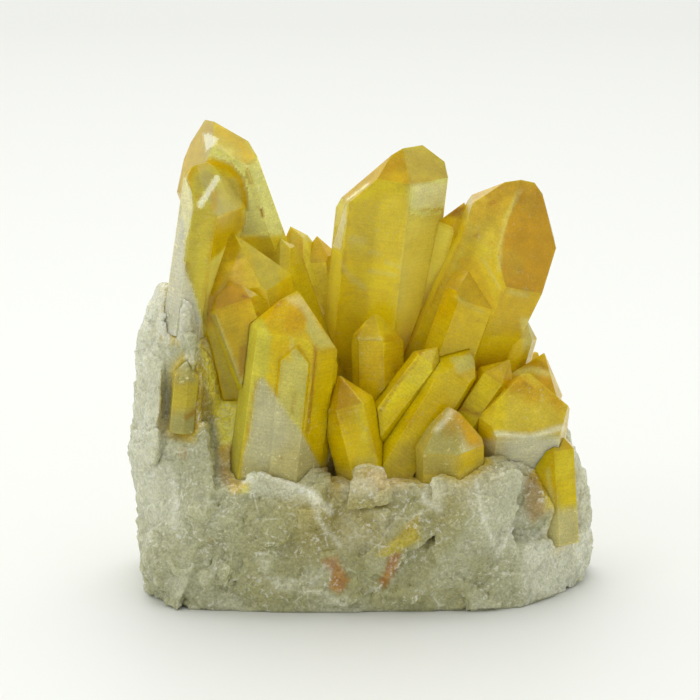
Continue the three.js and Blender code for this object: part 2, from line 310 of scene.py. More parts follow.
# A facet's tone, by pixels of the view where the facet shows. Most are the facet's own colour;
# shine, glow and bright are painted light on facets left in shade, and cream on the right faces
# of the tall left and centre points is a painted reflection of the pale surround.
FACET_TONES = {
    "straw": [(225, 135), (425, 165), (510, 300)],
    # Painted reflection: the pale surround seen in the right faces of the tall points.
    "cream": [(246, 185), (262, 205), (430, 195), (428, 240)],
    "tan": [(490, 215), (480, 250), (425, 365), (460, 362), (530, 385), (505, 400), (318, 325),
        (450, 420)],
    "pale gold": [(205, 235), (248, 380), (380, 200)],
    "rim": [(372, 330)],
    "gold": [(192, 150), (230, 270), (240, 255), (255, 262), (228, 235), (240, 325), (322, 380),
        (475, 280), (488, 295), (372, 360), (440, 365), (455, 390), (265, 315), (500, 330)],
    "window": [(230, 195), (300, 370)],
    "spear": [(187, 205)],
    "yellow": [(460, 230), (452, 270), (290, 270), (275, 370), (362, 430), (462, 310), (560, 480),
        (490, 390)],
    # Painted light: these facets are lifted out of the shade that the lighting leaves on them.
    "shine": [(205, 330), (425, 300), (425, 290)],
    "glow": [(310, 265), (332, 300), (322, 280)],
    "bright": [(345, 340), (395, 350), (355, 350), (225, 350), (262, 285), (400, 400)],
    "deep": [(232, 294), (345, 390)],
    "amber": [(525, 230), (545, 365)],
    "honey": [(535, 500)],
    "olive": [(188, 380), (192, 400), (198, 395), (182, 400)],
    "milk": [(520, 450), (500, 450), (465, 430)],
    "moss": [(430, 450)],
    "chalk": [(180, 300)],
}

# Stains on each group and on the block, laid over one another in this order. Painted light is
# laid among them: shade lifted by the bright, glow and shine tones, and painted highlights and
# reflections along some edges and faces.
PAINT = {
    "left_tall_points": [
        patch("yellow", 0.5, 1, [(238, 238), (292, 236), (305, 345), (262, 345), (245, 290)]),
        patch("pale gold", 0.8, 0.7, [(247, 240), (286, 238), (276, 300), (268, 304), (252, 262)]),
        streak("gold", 1.3, 0.6, 0.8, [(190, 168), (188, 158), (197, 136), (207, 124), (216, 127),
            (240, 143), (250, 158)]),
        patch("cream", 0.4, 0.6, [(206, 150), (216, 143), (233, 150), (233, 161), (206, 160)]),
        patch("white", 0.2, 0.8, [(203, 134), (209, 133), (218, 139), (216, 143), (206, 151)]),
        streak("brown", 0.35, 0.2, 1, [(261, 209), (263, 216)]),
        patch("pale gold", 0.3, 1, [(190, 175), (215, 160), (237, 175), (245, 205), (213, 218),
            (206, 262), (183, 262), (186, 238), (193, 208)]),
        streak("gold", 1.1, 0.2, 1, [(188, 183), (191, 171), (201, 164), (213, 162), (229, 168),
            (238, 178), (243, 192), (244, 206)]),
        patch("window", 0.2, 1, [(220, 176), (236, 178), (243, 195), (242, 206), (216, 217),
            (210, 212), (218, 190)]),
        patch("gold", 0.15, 1, [(215, 218), (243, 207), (243, 229), (216, 257), (208, 262)]),
        patch("moss", 0.4, 0.35, [(196, 178), (205, 171), (214, 175), (206, 188), (197, 192)]),
        streak("white", 0.8, 0.35, 0.9, [(217, 178), (210, 190), (200, 205)]),
        streak("gold", 0.9, 0.15, 1, [(214, 194), (214, 207)]),
        streak("rust", 0.3, 0.2, 1, [(198, 196), (198, 198)]),
        patch("spear", 0.2, 1, [(186, 175), (193, 207), (187, 238), (180, 200)]),
        patch("chalk", 0.5, 1, [(178, 203), (181, 235), (185, 250), (182, 262), (193, 290),
            (202, 320), (203, 345), (140, 345), (140, 280), (170, 262)]),
        # Painted light: a band that the lighting leaves in shade, lifted.
        patch("bright", 0.4, 1, [(205, 335), (213, 320), (243, 385), (245, 450), (229, 450),
            (222, 400)]),
        patch("amber", 0.3, 0.5, [(213, 316), (217, 292), (232, 286), (250, 290), (258, 305),
            (240, 300), (217, 309)]),
        streak("window", 0.85, 0.15, 1, [(214, 316), (226, 344), (241, 382)]),
        patch("deep", 0.2, 0.8, [(240, 346), (251, 343), (247, 372), (238, 380)]),
        streak("rust", 0.3, 0.15, 0.9, [(243, 296), (249, 298)]),
        streak("rust", 0.4, 0.3, 0.7, [(257, 313), (263, 318), (258, 322)]),
        streak("pale gold", 0.35, 0.3, 0.8, [(199, 306), (216, 350), (235, 418)]),
    ],
    "front_left_points": [
        patch("pale gold", 0.3, 1, [(252, 322), (262, 318), (272, 338), (268, 372), (246, 430),
            (240, 450), (245, 380)]),
        patch("gold", 0.5, 0.8, [(272, 340), (291, 340), (291, 362), (280, 358), (270, 352)]),
        patch("amber", 0.9, 0.75, [(283, 322), (290, 305), (302, 308), (308, 322), (300, 332),
            (286, 332)]),
        patch("spear", 0.5, 0.35, [(286, 298), (300, 294), (312, 312), (318, 330), (312, 332),
            (304, 312), (292, 304)]),
        patch("window", 0.3, 0.8, [(303, 306), (336, 347), (316, 347), (306, 330), (308, 318)]),
        patch("amber", 0.6, 0.5, [(258, 312), (270, 300), (282, 292), (280, 312), (268, 325)]),
        patch("milk", 0.35, 1, [(256, 381), (263, 377), (291, 419), (299, 428), (322, 470),
            (330, 500), (240, 500), (243, 455), (250, 430)]),
        patch("chalk", 1.2, 0.3, [(258, 390), (264, 384), (282, 412), (290, 440), (262, 470),
            (250, 450)]),
        patch("honey", 2, 0.25, [(290, 440), (322, 460), (328, 500), (270, 500), (262, 478)]),
        streak("rust", 0.32, 0.12, 0.95, [(316, 346), (313, 380), (308, 432)]),
        streak("rust", 0.35, 0.2, 0.8, [(294, 393), (293, 412)]),
        streak("deep", 0.25, 0.2, 0.8, [(257, 380), (250, 412), (246, 440)]),
        streak("rust", 0.35, 0.3, 0.7, [(276, 306), (282, 300)]),
        streak("window", 0.5, 0.2, 0.6, [(292, 340), (294, 411)]),
    ],
    "small_front_point": [
        patch("deep", 1.5, 0.5, [(334, 372), (352, 370), (358, 415), (352, 428), (336, 425)]),
        patch("gold", 0.7, 0.8, [(334, 430), (348, 420), (360, 428), (354, 470), (338, 470)]),
        patch("cream", 0.2, 0.8, [(325, 408), (329, 410), (327, 414)]),
        streak("pale gold", 0.35, 0.3, 0.8, [(357, 414), (367, 440)]),
        streak("rust", 0.3, 0.3, 0.5, [(337, 424), (342, 420)]),
    ],
    "small_centre_point": [
        # A painted highlight along the edge between the cap and the front face.
        streak("cream", 0.3, 0.2, 0.7, [(357, 338), (383, 339)]),
        patch("yellow", 0.4, 0.5, [(360, 318), (384, 318), (384, 338), (360, 338)]),
        patch("deep", 0.4, 0.6, [(384, 335), (403, 335), (400, 370), (384, 385)]),
    ],
    "centre_tall_point": [
        # Painted light: the foot of the point, which the lighting leaves in shade, lifted.
        patch("bright", 2.2, 1, [(334, 322), (372, 305), (412, 322), (420, 360), (330, 360)]),
        patch("pale gold", 1.5, 0.6, [(347, 203), (410, 190), (408, 262), (345, 255)]),
        # Painted light on the right face: a painted highlight along its edge with the front, a
        # painted reflection of the pale surround above, and below it the shade beside the right
        # tall points, lifted with straw and shine.
        streak("cream", 1, 0.6, 0.6, [(411, 188), (410, 225), (405, 262)]),
        patch("spear", 0.4, 0.5, [(414, 184), (448, 184), (448, 208), (412, 208)]),
        patch("straw", 1.5, 0.5, [(412, 215), (444, 215), (440, 262), (404, 262)]),
        patch("shine", 1, 0.5, [(412, 222), (440, 218), (436, 262), (405, 262)]),
        patch("shine", 1.5, 1, [(405, 262), (442, 258), (426, 348), (396, 348)]),
        streak("cream", 1, 0.8, 0.5, [(352, 240), (362, 241)]),
        streak("cream", 0.4, 0.4, 0.7, [(370, 252), (380, 254)]),
        streak("cream", 0.5, 0.4, 0.6, [(386, 262), (402, 268)]),
        streak("cream", 0.5, 0.4, 0.6, [(370, 271), (396, 275)]),
        streak("cream", 0.5, 0.4, 0.6, [(341, 262), (347, 274)]),
        streak("cream", 0.7, 0.6, 0.5, [(350, 276), (364, 288)]),
        # Painted reflection lines along the point's left edges.
        patch("spear", 0.2, 1, [(346, 201), (332, 247), (341, 250), (346, 220)]),
        streak("spear", 0.35, 0.15, 1, [(347, 200), (368, 184)]),
        streak("amber", 0.8, 0.6, 0.6, [(384, 172), (397, 163)]),
        streak("deep", 0.2, 0.15, 0.5, [(418, 209), (447, 209)]),
        streak("rust", 0.2, 0.2, 0.6, [(447, 222), (446, 240)]),
        streak("rust", 0.3, 0.2, 0.8, [(441, 262), (434, 298)]),
        streak("pale gold", 0.5, 0.3, 0.7, [(429, 300), (422, 330)]),
    ],
    "right_tall_points": [
        # A painted highlight along the point's left ridge.
        streak("cream", 0.5, 0.4, 0.6, [(520, 190), (506, 218), (500, 246), (499, 270)]),
        patch("pale gold", 1.2, 0.5, [(470, 225), (500, 222), (498, 262), (482, 258)]),
        patch("yellow", 1, 1, [(478, 335), (545, 335), (530, 362), (455, 362)]),
        # A painted highlight along the top of the prism face.
        streak("cream", 0.7, 0.5, 0.5, [(510, 292), (526, 295)]),
        streak("rust", 0.35, 0.2, 0.8, [(490, 204), (495, 201)]),
        streak("rust", 0.25, 0.2, 0.8, [(476, 236), (478, 234)]),
        streak("rust", 0.25, 0.2, 0.7, [(490, 243), (493, 243)]),
        patch("brown", 0.25, 0.9, [(449, 216), (456, 208), (464, 206), (457, 218)]),
        streak("pale gold", 0.6, 0.5, 0.7, [(464, 216), (470, 232), (455, 268)]),
        streak("cream", 0.3, 0.25, 0.6, [(484, 260), (500, 289)]),
        streak("cream", 0.35, 0.25, 0.6, [(455, 297), (484, 309)]),
        patch("yellow", 1.2, 0.8, [(430, 320), (480, 320), (470, 362), (425, 362)]),
        patch("gold", 0.3, 1, [(458, 258), (475, 256), (497, 308), (482, 311), (459, 299)]),
        streak("straw", 0.7, 0.3, 1, [(459, 300), (482, 312)]),
        streak("rust", 0.25, 0.2, 0.7, [(478, 321), (480, 322)]),
        patch("cream", 0.4, 0.7, [(520, 318), (531, 318), (534, 340), (524, 352)]),
        patch("amber", 1, 0.35, [(488, 185), (520, 178), (524, 192), (496, 205)]),
    ],
    "leaning_bar_point": [
        patch("gold", 1.6, 0.8, [(404, 392), (420, 404), (392, 446), (360, 446)]),
        patch("straw", 0.8, 0.5, [(425, 348), (444, 350), (420, 386), (402, 380)]),
        streak("rust", 0.3, 0.25, 0.7, [(424, 347), (416, 362), (396, 386), (380, 412)]),
        streak("rust", 0.25, 0.25, 0.7, [(420, 404), (400, 430)]),
        streak("amber", 0.4, 0.3, 0.8, [(428, 344), (444, 346)]),
    ],
    "broad_slanted_point": [
        patch("window", 0.3, 0.8, [(450, 358), (473, 354), (475, 368), (458, 374)]),
        patch("yellow", 1.5, 0.7, [(395, 430), (420, 430), (415, 470), (385, 470)]),
        patch("honey", 1.5, 0.6, [(400, 445), (422, 438), (418, 468), (392, 470)]),
        streak("rust", 0.3, 0.3, 0.7, [(480, 390), (462, 408)]),
    ],
    "front_stub_point": [
        patch("rosy", 1.2, 0.75, [(418, 416), (450, 408), (462, 440), (456, 476), (415, 476)]),
        patch("amber", 0.8, 1, [(450, 410), (468, 415), (486, 446), (468, 446)]),
        patch("amber", 1.2, 0.5, [(438, 416), (452, 412), (458, 430), (446, 436)]),
        streak("white", 0.7, 0.5, 0.5, [(452, 411), (446, 420), (436, 430)]),
        streak("rust", 0.6, 0.35, 0.8, [(426, 409), (420, 425), (414, 443)]),
    ],
    "blunt_right_points": [
        patch("straw", 2.2, 0.7, [(497, 398), (540, 400), (563, 412), (560, 432), (498, 438)]),
        patch("amber", 0.9, 0.8, [(506, 380), (522, 372), (526, 392), (512, 392)]),
        patch("amber", 0.9, 0.6, [(524, 392), (544, 386), (540, 402), (526, 402)]),
        patch("amber", 0.8, 0.6, [(546, 392), (566, 398), (560, 412), (548, 402)]),
        patch("deep", 0.6, 0.9, [(512, 356), (540, 360), (556, 372), (524, 371)]),
        streak("cream", 0.8, 0.5, 0.6, [(515, 373), (532, 369), (548, 374)]),
        streak("rust", 0.5, 0.35, 0.6, [(524, 383), (532, 388)]),
        patch("yellow", 0.6, 0.7, [(494, 392), (506, 388), (505, 432), (493, 432)]),
        streak("snow", 0.9, 0.5, 0.7, [(497, 434), (530, 437), (561, 428)]),
        patch("chalk", 0.6, 0.7, [(484, 440), (568, 438), (575, 480), (484, 490)]),
        patch("honey", 1, 0.4, [(488, 440), (506, 440), (504, 484), (488, 484)]),
        streak("rust", 0.5, 0.35, 0.7, [(480, 415), (462, 408)]),
    ],
    "right_recess_point": [
        patch("gold", 0.8, 0.8, [(527, 455), (546, 440), (546, 500), (527, 500)]),
        patch("honey", 0.8, 0.8, [(527, 490), (546, 490), (546, 525), (527, 520)]),
        patch("milk", 1.2, 0.9, [(540, 514), (580, 506), (585, 565), (540, 565)]),
        streak("cream", 0.6, 0.35, 0.5, [(548, 470), (552, 505)]),
    ],
    "left_flank_point": [
        patch("white", 0.4, 0.8, [(180, 354), (190, 362), (184, 370), (178, 366)]),
        patch("moss", 0.7, 0.8, [(176, 364), (194, 362), (196, 382), (176, 384)]),
        patch("moss", 1.5, 0.85, [(165, 412), (210, 412), (210, 445), (165, 445)]),
        streak("brown", 0.6, 0.35, 0.8, [(186, 418), (204, 404)]),
    ],
    "milky_block": [
        patch("snow", 3.5, 0.9, [(130, 285), (195, 285), (160, 330), (132, 360)]),
        patch("snow", 3, 0.55, [(125, 340), (160, 340), (168, 470), (172, 520), (150, 535),
            (120, 470)]),
        patch("snow", 3, 0.6, [(560, 430), (600, 440), (605, 560), (570, 560)]),
        patch("snow", 2, 0.6, [(520, 535), (592, 535), (590, 595), (525, 600)]),
        patch("moss", 4, 0.7, [(240, 490), (500, 490), (470, 615), (230, 615)]),
        patch("honey", 4, 0.45, [(285, 498), (400, 485), (395, 550), (300, 552)]),
        patch("honey", 1, 0.7, [(176, 392), (206, 388), (222, 418), (198, 420), (184, 416)]),
        # Painted light: a yellow strip on the left flank, in glow, lifted out of shade.
        patch("glow", 0.7, 0.95, [(200, 345), (216, 345), (236, 400), (246, 450), (248, 492),
            (232, 490), (216, 425)]),
        patch("amber", 0.7, 0.8, [(219, 446), (244, 442), (246, 486), (234, 494), (220, 474)]),
        patch("honey", 1.2, 0.8, [(328, 470), (420, 466), (410, 490), (330, 496)]),
        patch("amber", 1.2, 0.6, [(366, 470), (404, 468), (400, 484), (374, 488)]),
        patch("olive", 0.5, 1, [(376, 556), (418, 517), (420, 540), (392, 556)]),
        patch("brown", 0.9, 0.6, [(526, 476), (542, 468), (548, 512), (532, 524), (524, 510)]),
        patch("yellow", 0.7, 0.6, [(540, 470), (558, 440), (566, 440), (560, 500), (546, 512)]),
        patch("honey", 4, 0.35, [(425, 450), (500, 440), (500, 480), (430, 540)]),
        patch("honey", 0.6, 0.5, [(404, 524), (420, 514), (418, 526), (398, 540)]),
        patch("orange", 0.45, 0.8, [(322, 562), (336, 556), (342, 568), (350, 580), (340, 594),
            (328, 588), (332, 574)]),
        patch("orange", 0.45, 0.9, [(388, 558), (400, 552), (398, 568), (386, 588), (378, 582),
            (386, 570)]),
        streak("rust", 0.8, 0.5, 0.6, [(396, 556), (388, 570)]),
        streak("rust", 0.8, 0.6, 0.5, [(336, 578), (344, 588)]),
        streak("rust", 0.8, 0.5, 0.5, [(326, 560), (334, 566)]),
        streak("rust", 0.7, 0.6, 0.7, [(222, 470), (226, 482)]),
        streak("white", 0.9, 0.6, 0.8, [(245, 480), (262, 474), (285, 482), (310, 492),
            (330, 512)]),
        patch("snow", 1.2, 0.4, [(244, 478), (300, 486), (320, 500), (290, 500), (250, 494)]),
        patch("snow", 0.8, 0.35, [(338, 478), (376, 476), (378, 496), (342, 496)]),
        patch("snow", 1.4, 0.5, [(424, 478), (446, 486), (440, 512), (424, 500)]),
        patch("snow", 2.5, 0.35, [(452, 484), (500, 474), (512, 520), (500, 552), (482, 530)]),
        streak("white", 0.6, 0.5, 0.6, [(310, 495), (322, 525), (340, 545)]),
        streak("white", 0.5, 0.5, 0.6, [(420, 478), (428, 484), (422, 500), (440, 510)]),
        streak("white", 0.35, 0.35, 0.7, [(476, 480), (484, 520), (498, 555), (512, 530)]),
        streak("white", 0.5, 0.5, 0.6, [(526, 548), (540, 532), (570, 528)]),
        streak("white", 0.5, 0.5, 0.6, [(300, 592), (320, 592), (345, 606)]),
        streak("white", 0.5, 0.5, 0.5, [(170, 470), (176, 500), (172, 530)]),
        patch("white", 0.6, 0.35, [(255, 558), (272, 560), (268, 575), (300, 580), (298, 592),
            (275, 590)]),
        streak("brown", 0.25, 0.2, 0.7, [(180, 448), (186, 452), (184, 458), (178, 454)]),
        streak("brown", 0.25, 0.2, 0.6, [(207, 537), (213, 541)]),
    ],
}


def tone(name):
    red, green, blue, frost = TONES[name]
    return (*linear(red, green, blue), frost)


def mixed(a, b, share):
    return [x + (y - x) * share for x, y in zip(a, b)]


def line_distance(x, z, line):
    """From (x, z) to the nearest part of a line, and whether the line, closed, winds round it."""
    nearest = 1e9
    inside = False
    for (x0, z0), (x1, z1) in zip(line, line[1:]):
        dx, dz = x1 - x0, z1 - z0
        along = max(0, min(1, ((x - x0) * dx + (z - z0) * dz) / (dx * dx + dz * dz)))
        nearest = min(nearest, math.hypot(x - x0 - along * dx, z - z0 - along * dz))
        if (z0 > z) != (z1 > z) and x < x0 + dx * (z - z0) / dz:
            inside = not inside
    return nearest, inside


def painted(colour, place, brushes):
    """The colour at a place after its patches and streaks."""
    x, z = on_plane(place - EYE)
    ripple = noise.noise_vector(place / RIPPLE_WIDE)
    x += RIPPLE_DEEP * ripple.x
    z += RIPPLE_DEEP * ripple.z
    for brush in brushes:
        low_x, high_x, low_z, high_z = brush["reach"]
        if not (low_x < x < high_x and low_z < z < high_z):
            continue
        away, inside = line_distance(x, z, brush["line"])
        if brush["wide"] is None:
            depth = away if inside else -away
        else:
            depth = brush["wide"] / 2 - away
        soft = max(brush["soft"], SOFTEST)
        cover = smoothstep(-soft, soft, depth) * brush["share"]
        if cover > 0:
            colour = mixed(colour, brush["colour"], cover)
    return colour


def brushes_for(name):
    brushes = PAINT.get(name, [])
    for brush in brushes:
        across, up = zip(*brush["line"])
        margin = brush["soft"] + (brush["wide"] or 0) + 0.2
        brush["reach"] = (
            min(across) - margin, max(across) + margin, min(up) - margin, max(up) + margin,
        )
        brush["colour"] = tone(brush["tone"])
    return brushes


def axis_of(lean):
    right, back = (math.tan(math.radians(a)) for a in lean)
    return Vector((right, back, 1)).normalized()


def faceted(node):
    """The node's solid as one face to each crystal facet."""
    bm = bmesh.new()
    bm.from_mesh(node.data)
    bmesh.ops.remove_doubles(bm, verts=bm.verts, dist=WELD)
    bmesh.ops.dissolve_limit(
        bm, angle_limit=SAME_FACET, verts=bm.verts, edges=bm.edges, delimit=set()
    )
    bm.faces.index_update()
    bm.normal_update()
    return bm


def facet_tones(solids):
    """The tone listed for each facet, painted light among them, as {(node, facet number): tone}.
    """
    corners, facets, owners = [], [], []
    for name, bm in solids.items():
        first = len(corners)
        corners.extend(v.co.copy() for v in bm.verts)
        for face in bm.faces:
            facets.append([first + v.index for v in face.verts])
            owners.append((name, face.index))
    cluster = BVHTree.FromPolygons(corners, facets)
    tones = {}
    for name_of_tone, places in FACET_TONES.items():
        for place in places:
            _, _, hit, _ = cluster.ray_cast(EYE, ray_through(*place))
            if hit is not None:
                tones[owners[hit]] = name_of_tone
    return tones


def owner_of(face, points):
    """The point that a facet belongs to, and whether it is one of its cap's."""
    best = None
    for tip, right, back in points:
        axis = axis_of((right, back))
        tip = Vector(tip) * MM
        rise = face.normal.dot(axis)
        misfit, kind = min(
            (abs(rise), "side"), (abs(rise - CAP_RISE), "cap"), (abs(rise + 1), "root")
        )
        away = (face.calc_center_median() - tip).cross(axis).length
        score = misfit + away / FAR_POINT
        if best is None or score < best[0]:
            best = (score, tip, axis, kind)
    return best[1:]


def dress_point(name, bm, tones, block):
    """Bevels, cells, growth coordinates, and stains with painted light, for one group of points.
    """
    tint = bm.faces.layers.float_color.new("facet tone")
    rim = bm.faces.layers.int.new("rim")
    group = bm.faces.layers.int.new("owner")
    owners = []
    for face in bm.faces:
        tip, axis, kind = owner_of(face, POINTS[name])
        face[group] = len(owners)
        owners.append((tip, axis, CAP_LINES if kind == "cap" else 1))
        # A listed tone can be painted light: bright, glow and shine lift facets out of shade.
        facet_tone_and_light = tones.get((name, face.index)) or (CAP_TONE if kind == "cap" else "gold")
        face[tint] = tone(facet_tone_and_light)
    for vert in bm.verts:
        vert.co += vert.normal * SWELL
    sharp = [e for e in bm.edges if e.is_manifold and e.calc_face_angle(0) > SHARP]
    made = bmesh.ops.bevel(
        bm, geom=sharp, offset=BEVEL, offset_type="OFFSET", affect="EDGES", segments=1,
        profile=0.5, material=-1, clamp_overlap=True,
    )
    for face in made["faces"]:
        face[rim] = 1
    cut_into_cells(bm, FINE_CELL if name in PAINT else PLAIN_CELL)
    near_rim = kdtree.KDTree(sum(len(f.verts) for f in bm.faces if f[rim]))
    for face in bm.faces:
        if face[rim]:
            for vert in face.verts:
                near_rim.insert(vert.co, vert.index)
    near_rim.balance()
    growth = bm.loops.layers.uv.new("growth")
    # This layer holds the stains and the painted light: lifted shade, highlights and reflections.
    colour = bm.loops.layers.float_color.new("stain_and_painted_light")
    brushes = brushes_for(name)
    milkiness = 0 if brushes else UNPAINTED_MILK
    bm.normal_update()
    for face in bm.faces:
        tip, axis, fineness = owners[face[group]]
        across = axis.cross(face.normal).normalized()
        facing = face.normal.dot((EYE - face.calc_center_median()).normalized())
        cover = smoothstep(0, EDGE_ON, facing)
        for loop in face.loops:
            place = loop.vert.co
            drop = place - tip
            along = -fineness * drop.dot(axis)
            loop[growth].uv = (drop.dot(across) / GROWTH, along / GROWTH)
            stain_and_painted_light = stained(place, face[tint], near_rim, block, milkiness)
            # The patches and streaks lay stains and painted light.
            if cover > 0:
                stain_and_painted_light = mixed(stain_and_painted_light, painted(stain_and_painted_light, place, brushes), cover)
            loop[colour] = stain_and_painted_light
        frost = sum(loop[colour][3] for loop in face.loops) / len(face.loops)
        face.material_index = 1 if frost > FROSTED else 0
    made = new_object(name + "_finish", bm)
    made.data.shade_smooth()
    made.data.set_sharp_from_angle(angle=CREASE)
    return made


def cut_into_cells(bm, cell):
    """Cuts the facets along upright and level planes; their shape stays."""
    low = Vector([min(v.co[i] for v in bm.verts) for i in range(3)])
    high = Vector([max(v.co[i] for v in bm.verts) for i in range(3)])
    for i in range(3):
        normal = Vector([1 if i == j else 0 for j in range(3)])
        at = low[i] + cell / 2
        while at < high[i]:
            bmesh.ops.bisect_plane(
                bm, geom=bm.verts[:] + bm.edges[:] + bm.faces[:], dist=1e-7,
                plane_co=normal * at, plane_no=normal,
            )
            at += cell
    bm.verts.index_update()


def stained(place, base, near_rim, block, milkiness):
    """A facet's tone with iron stains along its edges and milk towards the block."""
    _, _, away = near_rim.find(place)
    cloud = noise.fractal(place / STAIN_CLOUD, 1.0, 2.0, 3)
    share = (1 - smoothstep(*RIM_STAIN, away)) * smoothstep(-0.4, 0.5, cloud)
    reach = ROOT_FADE * (1 + 3 * milkiness + cloud)
    _, _, _, depth = block.find_nearest(place, reach)
    root = 0 if depth is None else 1 - smoothstep(0, reach, depth)
    colour = mixed(base, tone(RIM_TONE), RIM_SHARE * share * (1 - root))
    veil = smoothstep(0.05, 0.6, noise.fractal(place / VEIL_CLOUD + VEIL_SHIFT, 1.0, 2.0, 3))
    colour = mixed(colour, tone("pale gold"), (0.2 + 0.5 * milkiness) * veil)
    return mixed(colour, tone("milk"), (0.3 + 0.6 * milkiness) * root)


def cloud_share(nodes, links, coords, scale, detail, low, high, at_low, at_high):
    """A cloudy value that runs from at_low to at_high."""
    cloud = nodes.new("ShaderNodeTexNoise")
    cloud.inputs["Scale"].default_value = scale
    cloud.inputs["Detail"].default_value = detail
    cloud.inputs["Roughness"].default_value = 0.65
    cloud.inputs["Distortion"].default_value = 0.4
    links.new(coords, cloud.inputs["Vector"])
    spread = nodes.new("ShaderNodeMapRange")
    spread.inputs["From Min"].default_value = low
    spread.inputs["From Max"].default_value = high
    spread.inputs["To Min"].default_value = at_low
    spread.inputs["To Max"].default_value = at_high
    links.new(cloud.outputs["Fac"], spread.inputs["Value"])
    return spread.outputs[0]


def product(nodes, links, a, b):
    node = nodes.new("ShaderNodeMath")
    node.operation = "MULTIPLY"
    links.new(a, node.inputs[0])
    links.new(b, node.inputs[1])
    return node.outputs[0]


def blend(nodes, links, share, colour, other):
    """A colour that goes over to another, plain one."""
    mix = nodes.new("ShaderNodeMix")
    mix.data_type = "RGBA"
    links.new(share, mix.inputs["Factor"])
    links.new(colour, mix.inputs["A"])
    mix.inputs["B"].default_value = (*linear(*other), 1)
    return mix.outputs["Result"]


def golden_quartz(name, clearness, brightness):
    """Quartz with growth lines, veils and flecks over its stains and painted light, see-through by
    its clearness.
    """
    material, shader = new_material(name)
    nodes, links = material.node_tree.nodes, material.node_tree.links
    stain_and_painted_light = nodes.new("ShaderNodeAttribute")
    stain_and_painted_light.attribute_name = "stain_and_painted_light"
    growth = nodes.new("ShaderNodeUVMap")
    growth.uv_map = "growth"
    coords = nodes.new("ShaderNodeTexCoord").outputs["Object"]

    lines = nodes.new("ShaderNodeMapping")
    lines.inputs["Scale"].default_value = (1.6, 34, 1)
    links.new(growth.outputs[0], lines.inputs[0])
    striae = cloud_share(nodes, links, lines.outputs[0], 1, 3, 0.35, 0.65, 0, 1)
    ribs = nodes.new("ShaderNodeMapRange")
    ribs.inputs["To Min"].default_value = 0.94
    ribs.inputs["To Max"].default_value = 1.06
    links.new(striae, ribs.inputs["Value"])

    dim, bright = 0.88 * brightness, 1.12 * brightness
    veil = cloud_share(nodes, links, coords, 260, 6, 0.35, 0.68, dim, bright)
    grain = cloud_share(nodes, links, coords, 3600, 2, 0.3, 0.7, 0.86, 1.14)
    shade = nodes.new("ShaderNodeVectorMath")
    shade.operation = "SCALE"
    links.new(stain_and_painted_light.outputs["Color"], shade.inputs[0])
    texture = product(nodes, links, product(nodes, links, veil, grain), ribs.outputs[0])
    links.new(texture, shade.inputs["Scale"])

    flecks = cloud_share(nodes, links, coords, 1500, 4, 0.58, 0.66, 0, 1)
    flecked = cloud_share(nodes, links, coords, 150, 2, 0.42, 0.6, 0, 1.3)
    frosted = product(nodes, links, flecked, stain_and_painted_light.outputs["Alpha"])
    pale = product(nodes, links, flecks, frosted)
    colour = blend(nodes, links, pale, shade.outputs[0], PALE_FLECK)
    specks = cloud_share(nodes, links, coords, 1300, 5, 0.34, 0.27, 0, 0.4)
    links.new(blend(nodes, links, specks, colour, RUST_SPECK), shader.inputs["Base Color"])

    rough = nodes.new("ShaderNodeMapRange")
    rough.inputs["To Min"].default_value = 0.06
    rough.inputs["To Max"].default_value = 0.5
    links.new(stain_and_painted_light.outputs["Alpha"], rough.inputs["Value"])
    links.new(rough.outputs[0], shader.inputs["Roughness"])

    relief = nodes.new("ShaderNodeMath")
    relief.operation = "ADD"
    links.new(striae, relief.inputs[0])
    links.new(flecks, relief.inputs[1])
    bump = nodes.new("ShaderNodeBump")
    bump.inputs["Strength"].default_value = 0.2
    bump.inputs["Distance"].default_value = 0.08 * MM
    links.new(relief.outputs[0], bump.inputs["Height"])
    links.new(bump.outputs[0], shader.inputs["Normal"])

    shader.inputs["IOR"].default_value = 1.54
    shader.inputs["Specular IOR Level"].default_value = 0.14
    shader.inputs["Transmission Weight"].default_value = clearness
    shader.inputs["Subsurface Weight"].default_value = 0.5
    shader.inputs["Subsurface Radius"].default_value = (1, 0.8, 0.15)
    shader.inputs["Subsurface Scale"].default_value = 3 * MM
    depth = nodes.new("ShaderNodeVolumeAbsorption")
    depth.inputs["Color"].default_value = (1.0, 0.88, 0.2, 1)
    depth.inputs["Density"].default_value = 70
    links.new(depth.outputs[0], nodes["Material Output"].inputs["Volume"])
    return material


# ---------------------------------------------------------------- the milky block

VOXEL = 0.44 * MM
SOFTENING = 3  # rounds of smoothing before the chips are cut
CHIPS = [(9.0, 0.6), (4.2, 0.42), (2.0, 0.22)]  # width and depth of the chips, in millimetres
CLOSE_GAP = 0.25 * MM  # the block swells this much towards the points
SWOLLEN = (0.5 * MM, 1.2 * MM)  # the swelling fades out between these distances from them
UNCHIPPED = (0.4 * MM, 1.8 * MM)  # and the chips fade in
STAINED_ROOT = (0.3 * MM, 2.1 * MM)  # the points' colour fades into the block's
NEARBY = 8 * MM  # how far a point is looked for
RESTING = 0.3 * MM  # below this the block stays flat, to rest on
SNOW_CLOUD = 9 * MM
BLOCK_CREASE = math.radians(24)
BRUISE = (235, 236, 218)
SPARKLE = (240, 240, 226)


def chipped(place):
    """How far the broken surface stands out at a place: flat chips that meet in ridges."""
    out = 0
    for turn, (width, depth) in enumerate(CHIPS):
        spot = place / (width * MM)
        spot.rotate(Euler((0.7 * turn, 0.4 + turn, 1.3 * turn)))
        distances, seeds = noise.voronoi(spot)
        heights = [
            noise.cell_vector(seed * 9.7).dot(spot - seed) + 0.35 * noise.cell(seed * 5.3)
            for seed in seeds[:3]
        ]
        out += depth * (max(heights) - 0.3)
    return out * MM


